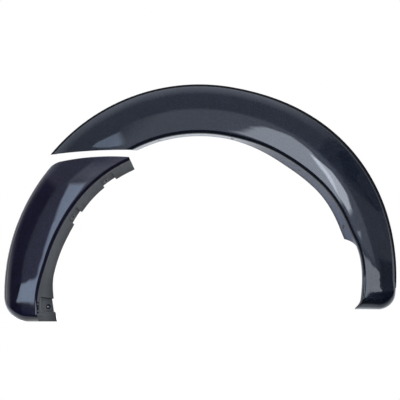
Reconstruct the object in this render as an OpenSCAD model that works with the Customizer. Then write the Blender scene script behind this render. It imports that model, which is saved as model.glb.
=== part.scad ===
// Wheel arch trim in two painted mouldings, standing upright as it is fixed on the car.
// X runs along the car, Z is up, and the painted face looks toward minus Y.
// Every edge is a distance from the wheel centre at an angle: 0 points to the tail, 90 up.

/* [Place] */
// Wheel centre, along the car from the middle of the trim
wheel_x = 12; // [0:1:30]
// Wheel centre, above the lowest edge of the trim
wheel_z = 4; // [0:1:20]
// Body panel plane, inboard of the middle of the trim's depth
body_y = 20; // [10:1:30]

/* [Upper outline] */
// Radius of the outer edge over the front and the top
crown_r = 500; // [480:1:520]
// Centre of that radius, along the car from the wheel centre
crown_dx = -15; // [-25:1:-5]
// Centre of that radius, above the wheel centre
crown_dz = 113; // [100:1:125]
// Further radius of the outer edge down the shoulder
shoulder_more = 56; // [40:1:70]
// Centre of that radius, along the car from the wheel centre
shoulder_dx = -58; // [-65:1:-50]
// Centre of that radius, above the wheel centre
shoulder_dz = 115; // [105:1:125]
// Painted width over the top, with the seal
face_w = 130; // [120:1:136]
// Painted width near the tail
tail_w = 92; // [82:1:100]
// Height of the tail's lower edge
tail_z = 31; // [20:1:60]
// Radius of the tail's outer corner, seen from outside
tail_corner_r = 40; // [30:1:55]
// Inward flare of the lip at the tail's foot
tail_flare = 10; // [0:1:16]
// Height of the arch's top over the highest place of the parting edge
parting_drop = 171.5; // [162:0.5:182]
// Radius of the parting edge's slight curve
parting_r = 1650; // [1200:10:2400]

/* [Lower outline] */
// Further radius of the lower moulding's outer edge, over the upper one's
lower_more = 17.5; // [5:0.5:30]
// Centre of that radius, along the car from the wheel centre
lower_dx = -5; // [-10:1:2]
// Centre of that radius, above the wheel centre
lower_dz = 67; // [60:1:78]
// Painted width at the parting edge
lower_w = 122; // [114:1:130]
// Painted width at the foot
foot_w = 85; // [80:1:94]
// Further painted width in the lower moulding's middle
middle_w = 9; // [0:0.5:10]
// Radius of the foot's outer corner, seen from outside
foot_corner_r = 58; // [45:1:70]
// Space between the two mouldings at the parting edges
joint_gap = 16.6; // [12:0.2:30]
// Radius of the curve along the lower moulding's top edge
top_edge_r = 640; // [500:10:900]
// Radius of the corner at the outer end of that edge
tip_corner_r = 11; // [6:1:18]

/* [Section] */
// Wall of both mouldings
wall = 3; // [2.4:0.1:3.6]
// Depth of the upper moulding from the body panel to its crown
crown_h = 55; // [48:1:62]
// Depth of the upper moulding at its tail
tail_h = 48; // [44:1:54]
// Depth of the lower moulding at its foot
foot_h = 48; // [44:1:54]
// Slope of the painted face where it leaves the outer edge
rise = 33; // [28:1:36]
// Slope of the painted face where it meets the lip
settle = 9; // [4:1:14]
// Radius of the rolled lip
lip_r = 9.5; // [7:0.5:11]
// Inward lean of the outer wall
draft = 0.8; // [0.4:0.1:1.5]
// Radius between the outer wall and the face
edge_r = 4; // [3.8:0.1:6]
// That radius beside the tail
tail_edge_r = 12; // [8:0.5:16]
// That radius at the top of the lower moulding
lower_edge_r = 7; // [5:0.5:9]
// That radius at the foot of the lower moulding
foot_edge_r = 19; // [12:0.5:22]
// Straight height of the outer wall below that radius
edge_h = 4.6; // [4:0.2:7]
// Length over which the tail's end wall rounds over
tail_round = 26; // [18:1:34]
// Length over which the foot's end wall rounds over
foot_round = 17; // [12:1:24]

/* [Return flange] */
// Reach of the upper flange inside the lip, over the top
upper_reach = 5; // [4:0.5:9]
// Further reach of the upper flange on the shoulder
shoulder_reach = 12; // [8:0.5:16]
// Further reach of the upper flange at its lower end
end_reach = 5; // [2:0.5:9]
// Further painted width there
end_w = 6.5; // [0:0.5:8]
// Angle where the upper flange starts to be cut back
flange_cut_from = 30.1; // [29:0.1:32]
// Angle where only the rolled lip is left
flange_cut_to = 25.9; // [25:0.1:28]
// Share of the flange that stays as the lip's short return
lip_return = 0.16; // [0.12:0.01:0.2]
// Depth of the upper flange's inner edge from the body panel
upper_flange_h = 12; // [8:0.5:16]
// Reach of the lower flange at its top
lower_reach = 25.5; // [22:0.5:29]
// Further reach of the lower flange in its middle
middle_reach = 8.5; // [4:0.5:11]
// Further reach of the lower flange at its foot
foot_reach = 14; // [8:0.5:16]
// Depth of the lower flange's inner edge from the body panel
lower_flange_h = 10; // [7:0.5:14]
// Angle of the lower flange's top end
flange_top = 115; // [114:0.2:117]

/* [Screw pockets and seats] */
// Depth of the screw pockets in the lower flange
pocket_depth = 7; // [4:0.5:9]
// Angle at the middle of the first pocket
pocket_1 = 124.7; // [123:0.1:126]
// Angle at the middle of the second pocket
pocket_2 = 141.3; // [140:0.1:142]
// Angle at the middle of the third pocket
pocket_3 = 174.5; // [174:0.1:175]
// Length of a pocket along the flange
pocket_len = 36; // [30:1:38]
// Screw hole's place from the middle of its pocket, along the flange
pocket_hole_shift = 5; // [0:0.5:8]
// Screw hole's place across the flange, as a share of it
pocket_hole_at = 0.72; // [0.66:0.01:0.76]
// Diameter of the screw holes
screw_d = 6; // [4:0.5:7]
// Diameter of the seat round each screw hole
seat_d = 14; // [12:0.5:16]
// Thickness of a seat behind the flange
seat_back = 3; // [2:0.5:5]
// Height of a seat above the flange
seat_proud = 0.5; // [0.4:0.1:1]
// Angle of the lowest screw in the upper flange
upper_screw_from = 33.8; // [33.4:0.2:36]
// Angle between the screws in the upper flange
upper_screw_step = 23.6; // [22:0.2:24]
// Screws in the upper flange
upper_screws = 4; // [2:1:4]
// Screw hole's place across the upper flange, as a share of it
upper_hole_at = 0.58; // [0.54:0.01:0.66]

/* [Clips] */
// Angle of the lowest clip on the upper moulding
upper_clip_from = 20; // [18:0.5:22]
// Angle between the clips on the upper moulding
upper_clip_step = 17; // [15:0.5:17]
// Clips on the upper moulding
upper_clip_count = 7; // [3:1:7]
// Angle of the highest clip on the lower moulding
lower_clip_from = 143; // [142:0.5:145]
// Angle between the clips on the lower moulding
lower_clip_step = 12; // [10:0.5:12]
// Clips on the lower moulding
lower_clip_count = 3; // [2:1:3]
// Distance of the clips inside the painted edge
clip_inset = 27; // [25:0.5:30]
// Side of the square clip tower
tower_w = 20; // [19:0.5:22]
// Wall of the clip tower
tower_wall = 2; // [1.5:0.1:2.4]
// Diameter of a clip's head
clip_head_d = 13; // [11:0.5:14]
// Thickness of a clip's head
clip_head_t = 2; // [1.5:0.1:2.4]
// Diameter of a clip's neck
clip_neck_d = 6; // [5:0.5:7]
// Length of a clip's neck between its collar and its head, with the tower's plate round it
clip_neck_h = 3.2; // [2.6:0.2:5]
// Diameter of a clip's collar
clip_collar_d = 16; // [14:0.5:17]
// Thickness of a clip's collar
clip_collar_t = 1.4; // [1:0.1:1.6]
// Diameter of a clip's shank over its barbs
clip_shank_d = 8; // [7:0.5:9]
// Length of a clip's shank
clip_shank_h = 15; // [12:0.5:18]
// Length of the plain shoulder that fills the panel's hole
clip_shoulder_h = 3; // [2:0.5:4]
// Barbs on a clip's shank
clip_barbs = 3; // [2:1:4]
// Gap between a clip and its tower
clip_fit = 0.25; // [0.2:0.05:0.4]

/* [Edge seal] */
// Width of the seal that shows outside the painted edge
seal_reach = 3.8; // [3:0.1:5]
// Width that shows more on the shoulder
seal_more = 2.2; // [0:0.1:3]
// Thickness of the seal's base between the edge and the body panel
seal_base = 2; // [1.4:0.1:2.5]
// Height of the seal's lip against the outer wall
seal_h = 4; // [3:0.1:4]
// Thickness of the seal's lip at its top
seal_lip_t = 0.9; // [0.7:0.1:1.2]
// Width of the seal's base under the painted edge
seal_under = 7; // [5:0.5:9]
// Gap between the seal's lip and the outer wall
seal_fit = 0.2; // [0.15:0.05:0.3]
// Angle where the seal ends beside the tail
seal_from = 9.5; // [9.2:0.1:12]

/* [Hidden] */
$fn = 48;

// Steps of the section's outline
FOLD_STEPS = 2;
FACE_STEPS = 9;
ROLL_STEPS = 5;
// Shares of the flange's width at its lines, with the pockets from the second on
FLANGE_STOPS = [0.18, 0.32, 1];
// Numbers of the outline's points where each stretch ends
FOLD_END = 1 + FOLD_STEPS;
FACE_END = FOLD_END + FACE_STEPS;
ROLL_END = FACE_END + ROLL_STEPS;
LAST = ROLL_END + len(FLANGE_STOPS);
POCKET_FIRST = ROLL_END + 2;

// Share of a wide fold's extra radius by which it starts higher
FOLD_LIFT = 0.25;

// Height over a seat that is kept clear for the screw's head
SPOT_FACE_H = 5;

// How far a cut runs past what it cuts, and the tower's material left under the face
CUT_PAST = 1;
TOWER_ROOF = 0.4;

// Shape of a clip's barb: its core's share of the radius, and where its cone starts and ends
CORE_SHARE = 0.6;
BARB_ROOT = 0.45;
BARB_RIM = 0.6;
COLLAR_TAPER = 0.4;

// Shape of the seal outside the painted edge, as shares of its own sizes
SEAL_EDGE = 0.2;
SEAL_BULGE = 0.8;
SEAL_WAIST = 0.35;

// Steps along the arch
ROUND_STEPS = 6;
TAIL_STEPS = 3;
CUT_STEPS = 2;
TIP_STEPS = 10;
POCKET_GAP_STEPS = 4;
FOOT_STEPS = 2;
ARC_STEP = 2.3;

// Rounds in which the ends' angles and the towers' roofs are found
SOLVE_STEPS = 8;
HALVINGS = 12;
ROOF_STEPS = 4;

// Angles between which the outlines change from one size to the next
SHOULDER_BLEND = [28, 83];
WIDTH_BLEND = [12, 64];
SHOULDER_REACH_BLEND = [60, 84];
END_BLEND = [28, 50];
MIDDLE_BLEND = [127, 150];
FOOT_BLEND = [163, 179];
BULGE_START = [118, 156];
BULGE_STOP = [159, 174];
SEAL_BLEND = [8.5, 12.5];
SEAL_SHOULDER = 45;
SEAL_SPREAD = 40;
LOWER_SPAN = [116, 178];
FLARE_SPAN = [7.6, 4.6];
TAIL_ZONE = 15;
TOP_ZONE = 105;
LOWER_TOP_ZONE = 147;
FOOT_ZONE = 167;
FOOT_STOP = 178;

// Where the two parting edges are highest, along the car from the wheel centre
PARTING_PEAK = -208;
TOP_EDGE_PEAK = -247;

// Arcs of the outer edges that follow the one over the top, and the height of the parting edge
SHOULDER_R = crown_r + shoulder_more;
LOWER_R = crown_r + lower_more;
PARTING_Z = wheel_z + crown_dz + crown_r - parting_drop;

// Distance of the pockets from the wheel centre, and the run of their side walls
POCKET_INSET = 87.5;
POCKET_R = LOWER_R - POCKET_INSET;
POCKET_SLOPE = 1;
function pocket_arc(length) = length / POCKET_R * 180 / PI;

WALL_ARC = pocket_arc(wall);
STEP_ARC = pocket_arc(POCKET_SLOPE);
HALF_ARC = pocket_arc(pocket_len / 2);
HOLE_ARC = pocket_arc(pocket_hole_shift);
POCKETS = [for (p = [pocket_1, pocket_2, pocket_3]) [p - HALF_ARC, p + HALF_ARC]];

function clamp(t) = min(max(t, 0), 1);
function smooth(t) = let (c = clamp(t)) c * c * (3 - 2 * c);
function ramp(a, span) = smooth((a - span[0]) / (span[1] - span[0]));
function mix(p, q, t) = p + (q - p) * t;
function steps(from, to, n) = [for (i = [1 : n]) mix(from, to, i / n)];
function steps_for(from, to) = steps(from, to, ceil(abs(to - from) / ARC_STEP));

// Distance from the wheel centre to an arc about a centre of its own
function arc_out(c, r, a) =
    let (along = c[0] * cos(a) + c[1] * sin(a), across = c[0] * sin(a) - c[1] * cos(a))
    along + sqrt(r * r - across * across);

// Width of the seal outside the painted edge
function seal_at(a) =
    (seal_reach + seal_more * (1 - smooth(abs(a - SEAL_SHOULDER) / SEAL_SPREAD)))
    * ramp(a, SEAL_BLEND);

// Outer edge of the upper moulding and its seal
function upper_edge(a) = mix(
    arc_out([shoulder_dx, shoulder_dz], SHOULDER_R, a),
    arc_out([crown_dx, crown_dz], crown_r, a),
    ramp(a, SHOULDER_BLEND));

// Share of the upper flange that is left beside its cut end
function upper_cut(a) =
    clamp((a - flange_cut_to) / (flange_cut_from - flange_cut_to));

// Sizes of the section: [foot, width, reach, height, fold radius, flange height, flange share]
function upper_plan(a) =
    let (flare = clamp((a - FLARE_SPAN[0]) / (FLARE_SPAN[1] - FLARE_SPAN[0])))
    let (turn = ramp(a, WIDTH_BLEND), cut = upper_cut(a))
    let (end = cut * (1 - ramp(a, END_BLEND)))
    [
        upper_edge(a) - seal_at(a),
        mix(tail_w, face_w, turn) - seal_at(a) + tail_flare * flare * flare + end_w * end,
        upper_reach + cut * shoulder_reach * (1 - ramp(a, SHOULDER_REACH_BLEND)) + end_reach * end,
        mix(tail_h, crown_h, turn),
        mix(tail_edge_r, edge_r, ramp(a, [TAIL_ZONE, 2 * TAIL_ZONE])),
        upper_flange_h,
        mix(lip_return, 1, cut)
    ];

function lower_plan(a) =
    let (down = clamp((a - LOWER_SPAN[0]) / (LOWER_SPAN[1] - LOWER_SPAN[0])))
    let (bulge = middle_w * ramp(a, BULGE_START) * (1 - ramp(a, BULGE_STOP)))
    [
        arc_out([lower_dx, lower_dz], LOWER_R, a),
        mix(lower_w, foot_w, down) + bulge,
        lower_reach - bulge + middle_reach * ramp(a, MIDDLE_BLEND)
            + foot_reach * ramp(a, FOOT_BLEND),
        mix(crown_h, foot_h, down),
        mix(lower_edge_r, foot_edge_r, smooth(down)),
        lower_flange_h,
        1
    ];

// Turn of the flange from straight inboard toward the wheel
function flange_turn(p) =
    let (drop = p[3] - lip_r - p[5])
    atan2(p[2], drop + lip_r * sin(atan2(p[2], drop)));

// Corners of the section in its own plane: x inward from the painted edge, y outboard
function fold_centre(p) = [draft + p[4], edge_h + max(p[4] - edge_r, 0) * FOLD_LIFT];
function roll_centre(p) = [p[1] - lip_r * cos(flange_turn(p)), p[3] - lip_r];
function face_start(p) = fold_centre(p) + p[4] * [-sin(rise), cos(rise)];
function face_stop(p) = roll_centre(p) + lip_r * [-sin(settle), cos(settle)];
function face_handle(p) = norm(face_stop(p) - face_start(p)) / 3;

// A point of the painted face at share t, set back behind its surface
function face_point(p, t, back) =
    let (h = face_handle(p), s = 1 - t)
    let (a = face_start(p), d = face_stop(p))
    let (b = a + h * [cos(rise), sin(rise)], c = d - h * [cos(settle), sin(settle)])
    let (at = s * s * s * a + 3 * s * s * t * b + 3 * s * t * t * c + t * t * t * d)
    let (run = s * s * (b - a) + 2 * s * t * (c - b) + t * t * (d - c))
    at + back / norm(run) * [run[1], -run[0]];

// A point of the flange at share f of its length, set back behind its surface
function flange_point(p, f, back) =
    let (g = flange_turn(p), lip = roll_centre(p) + lip_r * [cos(g), sin(g)])
    mix(lip, [p[1] + p[2], p[5]], f * p[6]) - back * [cos(g), sin(g)];

// Point k of the section, on the painted side or on the back, with its foot set deeper
function section_point(p, k, back, foot) =
    k == 0 ? [back, -foot] :
    k <= FOLD_END ?
        let (a = mix(-90, -rise, (k - 1) / FOLD_STEPS))
        fold_centre(p) + (p[4] - back) * [sin(a), cos(a)] :
    k <= FACE_END ? face_point(p, (k - FOLD_END) / FACE_STEPS, back) :
    k <= ROLL_END ?
        let (a = mix(-settle, 90 - flange_turn(p), (k - FACE_END) / ROLL_STEPS))
        roll_centre(p) + (lip_r - back) * [sin(a), cos(a)] :
    flange_point(p, FLANGE_STOPS[k - ROLL_END - 1], back);

// How far a pocket is sunk at an angle, with room for its side walls on the back
function pocket_at(a, room) = max([
    for (s = POCKETS)
        let (start = s[0] - room - STEP_ARC, stop = s[1] + room + STEP_ARC)
        clamp((a - start) / STEP_ARC) * clamp((stop - a) / STEP_ARC)
]);

function upper_point(a, k, back) = section_point(upper_plan(a), k, back, 0);
function lower_point(a, k, back) =
    let (p = lower_plan(a), g = flange_turn(p))
    let (sunk = k < POCKET_FIRST ? 0 : pocket_depth * pocket_at(a, back > 0 ? WALL_ARC : 0))
    section_point(p, k, back, seal_base) - sunk * [cos(g), sin(g)];

// Distance of point k from the wheel centre
function upper_rho(a, k, back) = upper_plan(a)[0] - upper_point(a, k, back)[0];
function lower_rho(a, k, back) = lower_plan(a)[0] - section_point(lower_plan(a), k, back, 0)[0];

// Height lost to a rounded corner at a distance inside the outer edge
function corner_rise(r, inset) = let (c = 1 - clamp(inset / r)) r * (1 - sqrt(1 - c * c));

// Slight downward curve of a parting edge away from its peak
function edge_fall(a, rho, peak, r) = let (x = rho * cos(a) - peak) x * x / (2 * r);

// Angles at which the line of point k meets the four ends
function tail_angle(k, back, a = 5, n = SOLVE_STEPS) =
    n == 0 ? a :
    let (inset = upper_point(a, k, 0)[0])
    let (z = tail_z + corner_rise(tail_corner_r, inset) - wheel_z)
    tail_angle(k, back, asin(z / upper_rho(a, k, back)), n - 1);

function parting_angle(k, back, a = 120, n = SOLVE_STEPS) =
    n == 0 ? a :
    let (rho = upper_rho(a, k, back))
    let (z = PARTING_Z - wheel_z - edge_fall(a, rho, PARTING_PEAK, parting_r))
    parting_angle(k, back, 180 - asin(z / rho), n - 1);

function top_angle(k, back, a = 125, n = SOLVE_STEPS) =
    n == 0 ? a :
    let (rho = lower_rho(a, k, back))
    let (drop = edge_fall(a, rho, TOP_EDGE_PEAK, top_edge_r))
    let (corner = corner_rise(tip_corner_r, lower_point(a, k, 0)[0]))
    let (z = PARTING_Z - joint_gap - wheel_z - drop - corner)
    top_angle(k, back, max(180 - asin(z / max(rho, z)), flange_top), n - 1);

function foot_angle(k, back, a = 178, n = SOLVE_STEPS) =
    n == 0 ? a :
    let (z = corner_rise(foot_corner_r, lower_point(a, k, 0)[0]) - wheel_z)
    foot_angle(k, back, 180 - asin(z / lower_rho(a, k, back)), n - 1);

// A point in the car's frame from its angle, its distance and its depth
function place(a, rho, depth) =
    [wheel_x + rho * cos(a), body_y - depth, wheel_z + rho * sin(a)];

// Rounding over of an end wall: [distance from the end, share of the depth that is left]
function rounding(length, back) = [
    for (i = [0 : ROUND_STEPS])
        let (turn = 90 * (1 - i / ROUND_STEPS))
        [back + (length - back) * (1 - sin(turn)), cos(turn)]
];

// The line of point k from the tail to the parting edge
function upper_line(k, back) =
    let (tail = tail_angle(k, back), part = parting_angle(k, back))
    let (turn = 180 / PI / upper_rho(tail, k, back))
    let (round_over = rounding(tail_round, back))
    let (round_end = tail + round_over[ROUND_STEPS][0] * turn)
    let (ends = concat(
        [for (r = round_over) [tail + r[0] * turn, r[1]]],
        [for (a = steps(round_end, TAIL_ZONE, TAIL_STEPS)) [a, 1]],
        [for (a = steps_for(TAIL_ZONE, flange_cut_to)) [a, 1]],
        [for (a = steps(flange_cut_to, flange_cut_from, CUT_STEPS)) [a, 1]],
        [for (a = steps_for(flange_cut_from, TOP_ZONE)) [a, 1]],
        [for (a = steps(TOP_ZONE, part, TIP_STEPS)) [a, 1]]))
    [for (e = ends) let (q = upper_point(e[0], k, back))
        place(e[0], upper_plan(e[0])[0] - q[0], q[1] * e[1])];

// Angles that mark a pocket's two side walls, on the front and on the back
function pocket_stops(s) = [
    s[0] - WALL_ARC - STEP_ARC, s[0] - WALL_ARC, s[0] - STEP_ARC, s[0], (s[0] + s[1]) / 2,
    s[1], s[1] + STEP_ARC, s[1] + WALL_ARC, s[1] + WALL_ARC + STEP_ARC
];

// Shares of the way from one angle to another at which the flange has its stations
function flange_shares(from, to, stops) = [for (a = stops) (a - from) / (to - from)];

// The flange's own stations at the top and at the foot
FIRST_STOPS = pocket_stops(POCKETS[0]);
SECOND_STOPS = pocket_stops(POCKETS[1]);
THIRD_STOPS = pocket_stops(POCKETS[2]);
TOP_STOPS = concat(
    [flange_top, (flange_top + FIRST_STOPS[0]) / 2],
    FIRST_STOPS,
    steps(FIRST_STOPS[8], SECOND_STOPS[0], POCKET_GAP_STEPS),
    [for (i = [1 : 8]) SECOND_STOPS[i]],
    [LOWER_TOP_ZONE]);
FOOT_STOPS = concat(
    steps(FOOT_ZONE, THIRD_STOPS[0], FOOT_STEPS),
    [for (i = [1 : 8]) THIRD_STOPS[i]]);

// The line of point k from the lower moulding's top edge to its foot
function lower_line(k, back) =
    let (top = top_angle(k, back), foot = foot_angle(k, back))
    let (turn = 180 / PI / lower_rho(foot, k, back))
    let (round_over = rounding(foot_round, back))
    let (round_start = foot - round_over[ROUND_STEPS][0] * turn)
    let (top_shares = flange_shares(flange_top, LOWER_TOP_ZONE, TOP_STOPS))
    let (foot_shares = flange_shares(FOOT_ZONE, FOOT_STOP, FOOT_STOPS))
    let (ends = concat(
        [for (t = top_shares) [mix(top, LOWER_TOP_ZONE, t), 1]],
        [for (a = steps_for(LOWER_TOP_ZONE, FOOT_ZONE)) [a, 1]],
        [for (t = foot_shares) [mix(FOOT_ZONE, round_start, t), 1]],
        [for (i = [ROUND_STEPS : -1 : 0]) [foot - round_over[i][0] * turn, round_over[i][1]]]))
    [for (e = ends) let (q = lower_point(e[0], k, back))
        place(e[0], lower_plan(e[0])[0] - q[0], (q[1] + seal_base) * e[1] - seal_base)];

// Closed skin over rings of points that all have the same count
function side_faces(rings, count) = [
    for (j = [0 : rings - 2]) for (i = [0 : count - 1])
        let (a = j * count + i, b = j * count + (i + 1) % count)
        each [[a, b, b + count], [a, b + count, a + count]]
];

// End faces of a shell whose ring runs out along the front and home along the back
function shell_end(base, count, flip) = [
    for (i = [0 : count / 2 - 2])
        let (a = base + i, b = a + 1, d = base + count - 1 - i, c = d - 1)
        each (flip ? [[a, b, c], [a, c, d]] : [[c, b, a], [d, c, a]])
];

module shell(lines) {
    rings = len(lines[0]);
    count = len(lines);
    polyhedron(
        points = [for (j = [0 : rings - 1]) for (line = lines) line[j]],
        faces = concat(
            side_faces(rings, count),
            shell_end(0, count, false),
            shell_end((rings - 1) * count, count, true)));
}

// Stands a child at an angle: x inward, y outboard from the body panel, z along the arch
module at_station(a, rho) {
    translate([wheel_x + rho * cos(a), body_y, wheel_z + rho * sin(a)])
        rotate([180, 180 - a, 0])
            children();
}

// Runs a child's z axis along the outward normal of the flange, from its surface
module on_flange(p, f, sunk) {
    q = flange_point(p, f, sunk);
    translate([q[0], q[1], 0])
        rotate([0, 90, flange_turn(p)])
            children();
}

// Round boss through the flange, flat on both ends
module screw_seat(p, f, sunk) {
    on_flange(p, f, sunk)
        translate([0, 0, -wall - seat_back])
            cylinder(d = seat_d, h = wall + seat_back + seat_proud);
}

// Hole through a seat, with a flat face cut for the screw's head where the flange stands higher
module screw_hole(p, f, sunk) {
    on_flange(p, f, sunk) {
        translate([0, 0, -wall - seat_back - CUT_PAST])
            cylinder(d = screw_d, h = wall + seat_back + seat_proud + 2 * CUT_PAST);
        translate([0, 0, seat_proud])
            cylinder(d = seat_d, h = SPOT_FACE_H);
    }
}

// Share of the face at which the skin passes an inset
function face_share(p, inset, back, low = 0, high = 1, n = HALVINGS) =
    n == 0 ? low :
    let (middle = (low + high) / 2)
    face_point(p, middle, back)[0] < inset ?
        face_share(p, inset, back, middle, high, n - 1) :
        face_share(p, inset, back, low, middle, n - 1);

// Block from a height up to the face's own curve, between two insets from the painted edge
module under_face(p, near, far, foot, width, depth) {
    roof = [for (i = [0 : ROOF_STEPS])
        face_point(p, face_share(p, mix(far, near, i / ROOF_STEPS), depth), depth)];
    translate([0, 0, -width / 2])
        linear_extrude(height = width)
            polygon(concat([[near, foot], [far, foot]], roof));
}

TOWER_NEAR = clip_inset - tower_w / 2;
TOWER_FAR = clip_inset + tower_w / 2;

// Square tower under the face, with a plate at its foot that holds a clip's neck
module clip_tower(p) {
    under_face(p, TOWER_NEAR, TOWER_FAR, clip_fit, tower_w, wall / 2);
}

// Room inside a tower for a clip's head, and the neck's slot in its plate, open toward the lip
module clip_room(p) {
    neck = clip_neck_d + 2 * clip_fit;
    width = tower_w - 2 * tower_wall;
    under_face(p, TOWER_NEAR + tower_wall, TOWER_FAR + CUT_PAST, clip_neck_h, width, wall + TOWER_ROOF);
    translate([clip_inset, 0, 0]) {
        translate([0, 0, -neck / 2]) cube([tower_w / 2 + CUT_PAST, clip_neck_h + CUT_PAST, neck]);
        rotate([-90, 0, 0]) cylinder(d = neck, h = clip_neck_h + CUT_PAST);
    }
}

// Push-in clip, standing on the body panel side of its collar
module clip() {
    top = -clip_collar_t - clip_shoulder_h;
    tip = -clip_collar_t - clip_shank_h;
    barb = (top - tip) / (clip_barbs + 0.5);
    rim = clip_shank_d / 2;
    core = rim * CORE_SHARE;
    head_top = clip_neck_h + clip_head_t;
    upper_half = [
        [0, head_top], [clip_head_d / 2, head_top],
        [clip_head_d / 2, clip_neck_h], [clip_neck_d / 2, clip_neck_h],
        [clip_neck_d / 2, 0], [clip_collar_d / 2, 0],
        [clip_collar_d / 2 - COLLAR_TAPER, -clip_collar_t],
        [rim, -clip_collar_t], [rim, top]
    ];
    shank = [for (i = [0 : clip_barbs - 1]) each [
        [core, top - barb * i],
        [core, top - barb * (i + BARB_ROOT)],
        [rim, top - barb * (i + BARB_RIM)]
    ]];
    translate([clip_inset, 0, 0])
        rotate([-90, 0, 0])
            rotate_extrude()
                polygon(concat(upper_half, shank, [[core, tip + barb / 2], [core / 2, tip], [0, tip]]));
}

UPPER_CLIPS = [for (i = [0 : upper_clip_count - 1]) upper_clip_from + i * upper_clip_step];
LOWER_CLIPS = [for (i = [0 : lower_clip_count - 1]) lower_clip_from + i * lower_clip_step];
UPPER_SCREWS = [for (i = [0 : upper_screws - 1]) upper_screw_from + i * upper_screw_step];
LOWER_SCREWS = [for (s = POCKETS) (s[0] + s[1]) / 2 + HOLE_ARC];

module upper_section() {
    color([0.07, 0.08, 0.13]) difference() {
        union() {
            shell(concat(
                [for (k = [0 : LAST]) upper_line(k, 0)],
                [for (k = [LAST : -1 : 0]) upper_line(k, wall)]));
            for (a = UPPER_SCREWS)
                at_station(a, upper_plan(a)[0]) screw_seat(upper_plan(a), upper_hole_at, 0);
            for (a = UPPER_CLIPS)
                at_station(a, upper_plan(a)[0]) clip_tower(upper_plan(a));
        }
        for (a = UPPER_SCREWS)
            at_station(a, upper_plan(a)[0]) screw_hole(upper_plan(a), upper_hole_at, 0);
        for (a = UPPER_CLIPS)
            at_station(a, upper_plan(a)[0]) clip_room(upper_plan(a));
    }
}

module lower_section() {
    color([0.10, 0.11, 0.18]) difference() {
        union() {
            shell(concat(
                [for (k = [0 : LAST]) lower_line(k, 0)],
                [for (k = [LAST : -1 : 0]) lower_line(k, wall)]));
            for (a = LOWER_SCREWS)
                at_station(a, lower_plan(a)[0]) screw_seat(lower_plan(a), pocket_hole_at, pocket_depth);
            for (a = LOWER_CLIPS)
                at_station(a, lower_plan(a)[0]) clip_tower(lower_plan(a));
        }
        for (a = LOWER_SCREWS)
            at_station(a, lower_plan(a)[0]) screw_hole(lower_plan(a), pocket_hole_at, pocket_depth);
        for (a = LOWER_CLIPS)
            at_station(a, lower_plan(a)[0]) clip_room(lower_plan(a));
    }
}

// Rubber strip under the painted edge, with a lip that lies against the outer wall
function seal_outline(a) =
    let (out = seal_at(a), lean = draft * seal_h / edge_h)
    [
        [-out, -seal_base], [-out, -seal_base * SEAL_EDGE], [-out * SEAL_BULGE, seal_h * SEAL_WAIST],
        [lean - seal_fit - seal_lip_t, seal_h], [lean - seal_fit, seal_h], [-seal_fit, 0],
        [seal_under, 0], [seal_under, -seal_base]
    ];

module edge_seal() {
    angles = concat([seal_from], steps_for(seal_from, parting_angle(0, 0)));
    rings = [for (a = angles) [for (q = seal_outline(a)) place(a, upper_plan(a)[0] - q[0], q[1])]];
    count = len(rings[0]);
    last = (len(rings) - 1) * count;
    color([0.05, 0.05, 0.05])
        polyhedron(
            points = [for (ring = rings) each ring],
            faces = concat(
                side_faces(len(rings), count),
                [for (i = [1 : count - 2]) [i + 1, i, 0]],
                [for (i = [1 : count - 2]) [last, last + i, last + i + 1]]));
}

module upper_clips() {
    color([0.12, 0.12, 0.12])
        for (a = UPPER_CLIPS) at_station(a, upper_plan(a)[0]) clip();
}

module lower_clips() {
    color([0.12, 0.12, 0.12])
        for (a = LOWER_CLIPS) at_station(a, lower_plan(a)[0]) clip();
}

upper_section();
lower_section();
edge_seal();
upper_clips();
lower_clips();
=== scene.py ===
"""Wheel arch trim: two painted mouldings, an edge seal and push-in clips, in a plain white studio.

Every edge of the trim is a distance from the wheel centre at an angle: 0 points to the tail, 90 up.
Sizes are in millimetres and angles in degrees until a mesh is placed, which is in metres.
"""

import math

import bpy
import numpy as np
from mathutils import Matrix, Vector


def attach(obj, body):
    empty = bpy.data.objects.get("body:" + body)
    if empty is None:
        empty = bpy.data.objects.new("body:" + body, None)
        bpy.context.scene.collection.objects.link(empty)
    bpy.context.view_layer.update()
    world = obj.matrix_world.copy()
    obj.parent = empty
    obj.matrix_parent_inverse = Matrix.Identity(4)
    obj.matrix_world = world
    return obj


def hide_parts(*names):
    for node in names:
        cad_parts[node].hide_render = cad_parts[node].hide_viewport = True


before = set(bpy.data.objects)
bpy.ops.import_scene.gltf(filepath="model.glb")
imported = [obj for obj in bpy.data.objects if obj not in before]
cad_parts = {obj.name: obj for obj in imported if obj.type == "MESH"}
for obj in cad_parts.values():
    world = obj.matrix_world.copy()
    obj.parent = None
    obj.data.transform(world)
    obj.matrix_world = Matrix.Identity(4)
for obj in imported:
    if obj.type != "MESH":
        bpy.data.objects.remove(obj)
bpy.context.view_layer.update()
scene = bpy.context.scene
MM = 0.001

# Place of the trim
WHEEL_X, WHEEL_Z, BODY_Y = 12, 4, 20

# Outlines of the upper moulding
CROWN = (-15, 113, 500)
SHOULDER = (-58, 115, 556)
FACE_W, TAIL_W, END_W = 130, 92, 6.5
TAIL_Z, TAIL_CORNER_R, TAIL_FLARE = 31, 40, 10
PARTING_Z, PARTING_R, PARTING_PEAK = 445.5, 1650, -208

# Outlines of the lower moulding
LOWER = (-5, 67, 517.5)
LOWER_W, FOOT_W, MIDDLE_W, FOOT_CORNER_R = 122, 85, 9, 58
JOINT_GAP, TOP_EDGE_R, TOP_EDGE_PEAK, TIP_CORNER_R = 16.6, 640, -247, 11

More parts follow.
